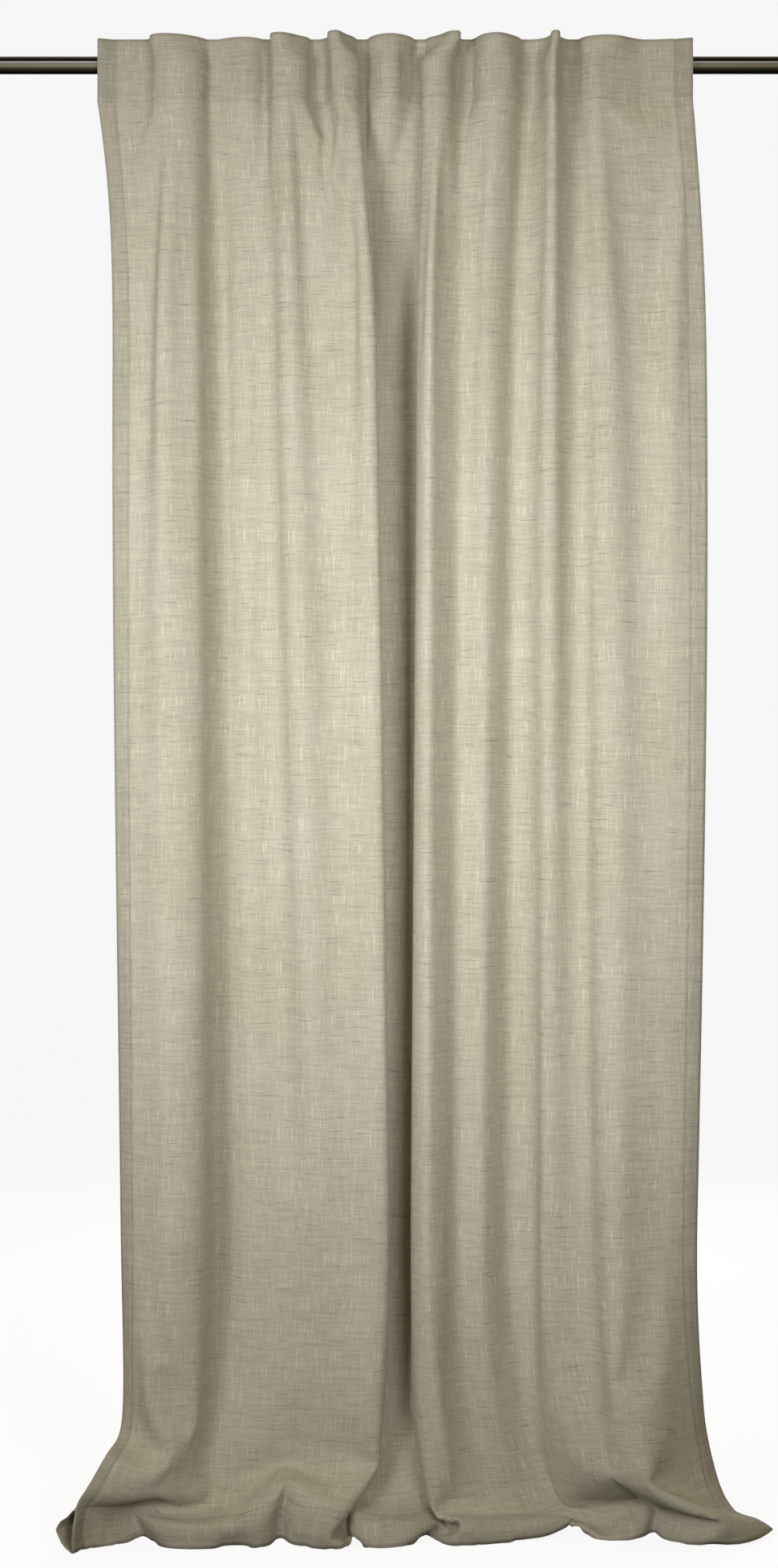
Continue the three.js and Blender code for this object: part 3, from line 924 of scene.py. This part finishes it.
# %% [markdown]
# ## Stitches
# A machine seam is a row of short threads on the front and another on the back, each dipping into
# the cloth at its ends. One stitch is modelled once, a flattened bead with pointed ends, and a copy
# is laid at each place along the seam, turned along the cloth. They are real threads rather than a
# drawn line, so the seams still read close up.

# %% Thread material
THREAD = (0.34, 0.30, 0.23)


def thread_material(name, color):
    material, tree, shader = new_material(name)
    place = add_node(tree, "ShaderNodeTexCoord").outputs["Object"]
    twist = add_node(tree, "ShaderNodeTexNoise", {"Vector": place, "Scale": 900.0, "Detail": 2.0})
    toned = add_node(
        tree,
        "ShaderNodeMix",
        {0: twist.outputs["Fac"], 6: (*[0.78 * c for c in color], 1), 7: (*[1.2 * c for c in color], 1)},
        data_type="RGBA",
    )
    tree.links.new(toned.outputs[2], shader.inputs["Base Color"])
    plies = {"Height": twist.outputs["Fac"], "Strength": 0.4, "Distance": 0.0002}
    bump = add_node(tree, "ShaderNodeBump", plies)
    tree.links.new(bump.outputs["Normal"], shader.inputs["Normal"])
    shader.inputs["Roughness"].default_value = 0.6
    shader.inputs["Sheen Weight"].default_value = 0.2
    return material


thread = thread_material("sewing_thread_greige", THREAD)
print("thread material", thread.name)

# %% One stitch
def one_stitch():
    """A bead 1 long, 1 wide and 1 high, pointed at both ends."""
    deselect_all()
    bpy.ops.mesh.primitive_cylinder_add(vertices=6, radius=0.5, depth=0.5, rotation=(0, math.radians(90), 0))
    bead = bpy.context.object
    bpy.ops.object.transform_apply(location=True, rotation=True, scale=True)
    bpy.ops.object.mode_set(mode="EDIT")
    bpy.ops.mesh.select_mode(type="FACE")
    for side in (-1, 1):
        bpy.ops.mesh.select_all(action="DESELECT")
        bpy.ops.object.mode_set(mode="OBJECT")
        for face_ in bead.data.polygons:
            face_.select = face_.normal.x * side > 0.9
        bpy.ops.object.mode_set(mode="EDIT")
        bpy.ops.mesh.extrude_region_move(TRANSFORM_OT_translate={"value": (side * 0.25, 0, 0)})
        bpy.ops.transform.resize(value=(1, 0.35, 0.35))
    bpy.ops.object.mode_set(mode="OBJECT")
    bead.name = "one_stitch"
    return bead


stitch = one_stitch()
stitch_shape = np.array([v.co for v in stitch.data.vertices])
print("one stitch has", len(stitch_shape), "vertices")

# %% Rows of stitches
def threads(name, starts, ends, up, width, height):
    """One piece of many stitches, each from a start to an end, with its flat side to the cloth."""
    along = ends - starts
    long = np.linalg.norm(along, axis=1, keepdims=True)
    x = along / long
    y = np.cross(up, x)
    y /= np.linalg.norm(y, axis=1, keepdims=True)
    z = np.cross(x, y)
    middle = (starts + ends) / 2
    b = stitch_shape
    places = (
        middle[:, None]
        + x[:, None] * (b[None, :, :1] * long[:, None])
        + y[:, None] * (b[None, :, 1:2] * width)
        + z[:, None] * (b[None, :, 2:] * height)
    )
    deselect_all()
    stitch.select_set(True)
    bpy.context.view_layer.objects.active = stitch
    bpy.ops.object.duplicate()
    piece = bpy.context.object
    piece.name = piece.data.name = name
    piece.modifiers.new("copies", "ARRAY").count = len(starts)
    finish_modifiers(piece)
    place_vertices(piece.data, places.reshape(-1, 3))
    shade_smooth(piece)
    return piece

# %% The four seams
STITCH_PITCH = 0.0034
STITCH_LONG = 0.0029
STITCH_WIDE, STITCH_HIGH = 0.0008, 0.0006
PROUD = 0.0002  # how far a stitch's middle stands off the cloth


def seam(name, node, start, end, back_at):
    """A straight seam over the flat cloth, seen on its front and on its back."""
    start, end = np.array(start), np.array(end)
    length = np.linalg.norm(end - start)
    count = int(length / STITCH_PITCH)
    way = (end - start) / length
    first = start + way * (np.arange(count)[:, None] + 0.5) * STITCH_PITCH
    starts, ends, ups = [], [], []
    for shift, behind, side in ((0.0, -PROUD, -1), (0.5 * STITCH_PITCH, back_at + PROUD, 1)):
        a = first + way * (shift - STITCH_LONG / 2)
        b = first + way * (shift + STITCH_LONG / 2)
        level = np.full(count, behind)
        place_a, back = sewn_place(a[:, 0], a[:, 1], level)
        place_b, _ = sewn_place(b[:, 0], b[:, 1], level)
        starts.append(place_a)
        ends.append(place_b)
        ups.append(back * side)
    rows = np.vstack(starts), np.vstack(ends), np.vstack(ups)
    piece = threads(name, *rows, STITCH_WIDE, STITCH_HIGH)
    print(name, 2 * count, "stitches")
    return sewn_on(piece, node, thread)


SEAM_INSET = 0.0015
for name, node, v in (
    ("heading_seam", "heading_stitching", HEADING_DEPTH),
    ("hem_seam", "bottom_hem_stitching", HEM_SEAM_V),
):
    seam(name, node, (SEAM_INSET, v), (CUT_WIDTH - SEAM_INSET, v), 2 * PITCH + CLOTH)
for name, node, u in (
    ("left_hem_seam", "left_hem_stitching", SIDE_SEAM),
    ("right_hem_seam", "right_hem_stitching", CUT_WIDTH - SIDE_SEAM),
):
    seam(name, node, (u, HEADING_DEPTH + 0.004), (u, HEM_SEAM_V - 0.004), PITCH + CLOTH)

# %% [markdown]
# ## Loops
# A loop is a short strip of the same cloth, folded so that its edges are hidden. One end is tacked
# high on the back of the heading; the strip goes over the pole, down behind it and back to the
# heading just over the seam. The side of the strip is drawn once and laid out as a grid, then it
# gets its thickness and soft edges.

# %% One loop's path, seen along the pole
STRIP_Y = LOOP_FRONT + 0.0006  # middle of the strip where it lies on the heading
WRAP = 0.0156  # radius of the strip's middle round the pole
UPPER_SEAM = (0.0284, 0.0174)
LOWER_SEAM = (-0.045, -0.056)
LEAVES_POLE = -0.6  # angle below the pole's back where the strip hangs free


def loop_path(steps=72):
    """Even places down the middle of the strip, and the direction away from the pole."""
    points = [(STRIP_Y, z) for z in np.linspace(UPPER_SEAM[0], UPPER_SEAM[1], 8)]
    start, turn, end = np.array([STRIP_Y, UPPER_SEAM[1]]), np.array([STRIP_Y, WRAP]), np.array([0.0, WRAP])
    for t in np.linspace(0.12, 1, 8):
        points.append(tuple((1 - t) ** 2 * start + 2 * t * (1 - t) * turn + t * t * end))
    for angle in np.linspace(math.radians(90) - 0.15, LEAVES_POLE, 16):
        points.append((WRAP * math.cos(angle), WRAP * math.sin(angle)))
    a = np.array([WRAP * math.cos(LEAVES_POLE), WRAP * math.sin(LEAVES_POLE)])
    b = a + np.array([math.sin(LEAVES_POLE), -math.cos(LEAVES_POLE)]) * WRAP
    c = np.array([STRIP_Y, LOWER_SEAM[0] + 0.6 * WRAP])
    d = np.array([STRIP_Y, LOWER_SEAM[0]])
    for t in np.linspace(0.08, 1, 14):
        points.append(tuple((1 - t) ** 3 * a + 3 * t * (1 - t) ** 2 * b + 3 * t * t * (1 - t) * c + t**3 * d))
    points += [(STRIP_Y, z) for z in np.linspace(LOWER_SEAM[0], LOWER_SEAM[1], 8)[1:]]
    points = np.array(points)
    along = steps_along(points)
    even = np.linspace(0, along[-1], steps)
    path = np.stack([np.interp(even, along, points[:, i]) for i in (0, 1)], axis=1)
    way = np.gradient(path, axis=0)
    way /= np.linalg.norm(way, axis=1, keepdims=True)
    outward = np.stack([way[:, 1], -way[:, 0]], axis=1)
    outward *= np.sign(np.sum(outward[20] * path[20]))
    return path, outward, even


strip_path, strip_out, strip_along = loop_path()
print("a loop's strip is", round(strip_along[-1], 3), "m long")

# %% [markdown]
# Every loop is its own piece, with its own mesh. The first one is fixed, and the others run on the
# pole, so each strip and its two tacks ride on the body of their own loop.

# %% One loop's strip
def loop_strip(name, x):
    """A strip laid along the path, its threads running the long way."""
    across = np.linspace(-LOOP_WIDTH / 2, LOOP_WIDTH / 2, 13)
    strip, column, row = flat_cloth(name, across + x, strip_along + 0.37 * x)
    path = strip_path[row]
    puff = 0.00018 * np.cos(np.pi * across[column] / LOOP_WIDTH)
    puff = puff + 0.00010 * wander(strip_along, 90, x * 50 + 2)[row]
    side = path + strip_out[row] * (0.0004 + puff)[:, None]
    place_vertices(strip.data, np.stack([across[column] + x, side[:, 0], side[:, 1]], axis=1))
    strip.data.update()
    thickness = strip.modifiers.new("thickness", "SOLIDIFY")
    thickness.thickness = 0.0009
    thickness.offset = -1.0 if outward_first(strip.data, row, column) else 1.0
    soften = strip.modifiers.new("soft_edges", "BEVEL")
    soften.width = 0.00028
    soften.segments = 2
    soften.limit_method = "ANGLE"
    soften.angle_limit = math.radians(50)
    finish_modifiers(strip)
    face_outwards(strip)
    shade_smooth(strip)
    strip.data.materials.clear()
    strip.data.materials.append(shaded_loop_linen)
    return strip


def outward_first(mesh, row, column):
    """Whether the strip's own faces look away from the pole."""
    polygon = mesh.polygons[len(mesh.polygons) // 3]
    r = row[polygon.vertices[0]]
    away = Vector((0, strip_out[r][0], strip_out[r][1]))
    return polygon.normal.dot(away) > 0


def face_outwards(piece):
    """Turns every face outwards, by the operator that Blender's Mesh menu has for it."""
    deselect_all()
    bpy.context.view_layer.objects.active = piece
    piece.select_set(True)
    bpy.ops.object.mode_set(mode="EDIT")
    bpy.ops.mesh.select_all(action="SELECT")
    bpy.ops.mesh.normals_make_consistent(inside=False)
    bpy.ops.object.mode_set(mode="OBJECT")

# %% One bar tack
def bar_tack(name, x, z):
    """A dense row of slanted threads across the strip, over two bars of thread."""
    count = 22
    span = LOOP_WIDTH - 0.006
    place = np.linspace(-span / 2, span / 2, count)
    y = STRIP_Y + 0.00095
    slant = 0.35 * span / count
    starts = np.stack([x + place - slant, np.full(count, y), np.full(count, z - 0.0012)], axis=1)
    ends = np.stack([x + place + slant, np.full(count, y), np.full(count, z + 0.0012)], axis=1)
    bars = np.array([[x - span / 2, y - 0.0003, z + h] for h in (-0.0006, 0.0006)])
    starts = np.vstack([starts, bars])
    ends = np.vstack([ends, bars + np.array([span, 0, 0])])
    up = np.tile([0.0, 1.0, 0.0], (len(starts), 1))
    tack = threads(name, starts, ends, up, 0.0007, 0.0006)
    tack.data.materials.append(thread)
    return tack

# %% Ten loops
for number, (node, x) in enumerate(zip(LOOPS, LOOP_X)):
    body = "panel" if number == 0 else node + "_runner"
    strip = loop_strip(node + "_strip", x)
    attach(strip, body)
    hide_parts(node)
    for end, heights in (("upper", UPPER_SEAM), ("lower", LOWER_SEAM)):
        tack = bar_tack(node + "_" + end + "_threads", x, sum(heights) / 2)
        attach(tack, body)
        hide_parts(node + "_" + end + "_tack")
bpy.data.objects.remove(stitch)
print(len(LOOPS), "loops with", 2 * len(LOOPS), "bar tacks")

# %% [markdown]
# ## Care label
# A small folded piece of white satin is caught in the seam of the left side hem, on the back. It is
# blank. It is a smooth strip doubled over, so its lower end is a round fold and its cut ends are
# under the stitches.

# %% Make the label
label_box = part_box("care_label")
LABEL_TOP = TOP_EDGE - label_box[1].z
LABEL_LONG = label_box[1].z - label_box[0].z
LABEL_WIDE = 0.030


def care_label():
    v_top = LABEL_TOP * CUT_LENGTH / (TOP_EDGE - FLOOR)
    across = np.linspace(SIDE_SEAM - 0.004, SIDE_SEAM - 0.004 + LABEL_WIDE, 9)
    fold = 0.0006
    ply = np.linspace(0, LABEL_LONG, 14)
    down = np.concatenate([ply, LABEL_LONG + np.array([fold, fold]), ply[::-1]])
    level = np.concatenate([np.full(14, 0.0), np.array([0.0004, 0.0010]), np.full(14, 0.0014)])
    along = np.concatenate([[0.0], np.cumsum(np.hypot(np.diff(down), np.diff(level)))])
    label, column, row = flat_cloth("care_label_satin", across, along)
    u = across[column]
    v = v_top + down[row]
    lift = 0.0035 * (down[row] / LABEL_LONG) ** 1.6 + 0.0016 * ((u - across[0]) / LABEL_WIDE) ** 2
    places, _ = sewn_place(u, v, PITCH + CLOTH + 0.0005 + level[row] + lift)
    place_vertices(label.data, places)
    thickness = label.modifiers.new("thickness", "SOLIDIFY")
    thickness.thickness = 0.00025
    thickness.offset = 0.0
    finish_modifiers(label)
    face_outwards(label)
    shade_smooth(label)
    return label


satin, tree, shader = new_material("label_satin_white")
threads_place = add_node(tree, "ShaderNodeUVMap", uv_map="cut").outputs["UV"]
gleam = stretched_noise(tree, threads_place, 300, 4000, 2.0, 0.6)
whites = {0: gleam, 6: (0.72, 0.70, 0.66, 1), 7: (0.86, 0.85, 0.82, 1)}
tone = add_node(tree, "ShaderNodeMix", whites, data_type="RGBA")
tree.links.new(tone.outputs[2], shader.inputs["Base Color"])
shader.inputs["Roughness"].default_value = 0.38
shader.inputs["Anisotropic"].default_value = 0.5
label = care_label()
sewn_on(label, "care_label", satin)
print("label", len(label.data.polygons), "faces")

# %% [markdown]
# ## The pole in the picture
# The pole isn't part of the panel. It stands here only so that the loops have something to hang
# on: a plain round bar that reaches past both sides.

# %% Pole
deselect_all()
bpy.ops.mesh.primitive_cylinder_add(
    vertices=96, radius=POLE_RADIUS, depth=1.6, location=(0, 0, 0.0008), rotation=(0, math.radians(90), 0)
)
pole = bpy.context.object
pole.name = "pole_in_the_picture"
bpy.ops.object.transform_apply(location=True, rotation=True, scale=True)
shade_smooth(pole)
reflections_on_bronze, tree, shader = new_material("pole_metal_and_painted_reflections")
place = add_node(tree, "ShaderNodeTexCoord").outputs["Object"]
height = add_node(tree, "ShaderNodeSeparateXYZ", {0: place}).outputs["Z"]
# Painted reflections: up the pole's height the ramp paints a dull bronze lower half, a thin dark line, a
# bright painted highlight, and a dark band along the top.
ramp = add_node(tree, "ShaderNodeValToRGB", {0: between_values(tree, height, -0.0142, 0.0150)})
ramp.color_ramp.interpolation = "EASE"
for place, color in (
    (0.10, (0.05, 0.045, 0.02, 1)),
    (0.30, (0.30, 0.27, 0.16, 1)),
    (0.46, (0.33, 0.30, 0.20, 1)),
    (0.50, (0.06, 0.05, 0.04, 1)),
    (0.56, (0.75, 0.74, 0.70, 1)),
    (0.63, (0.55, 0.54, 0.50, 1)),
    (0.68, (0.012, 0.012, 0.010, 1)),
    (0.92, (0.010, 0.010, 0.008, 1)),
):
    ramp.color_ramp.elements.new(place).color = color
tree.links.new(ramp.outputs["Color"], shader.inputs["Base Color"])
shader.inputs["Metallic"].default_value = 0.2
shader.inputs["Roughness"].default_value = 0.5
shader.inputs["Specular IOR Level"].default_value = 0.2
pole.data.materials.append(reflections_on_bronze)
print("pole radius", POLE_RADIUS)

# %% [markdown]
# ## Meshes of their own
# When the last loop is pushed towards the first, the folds close up like a bellows. Here each piece
# that is sewn to the cloth is given a mesh of its own.

# %% Give each sewn piece a mesh of its own
for piece in cloth_pieces:
    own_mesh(piece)
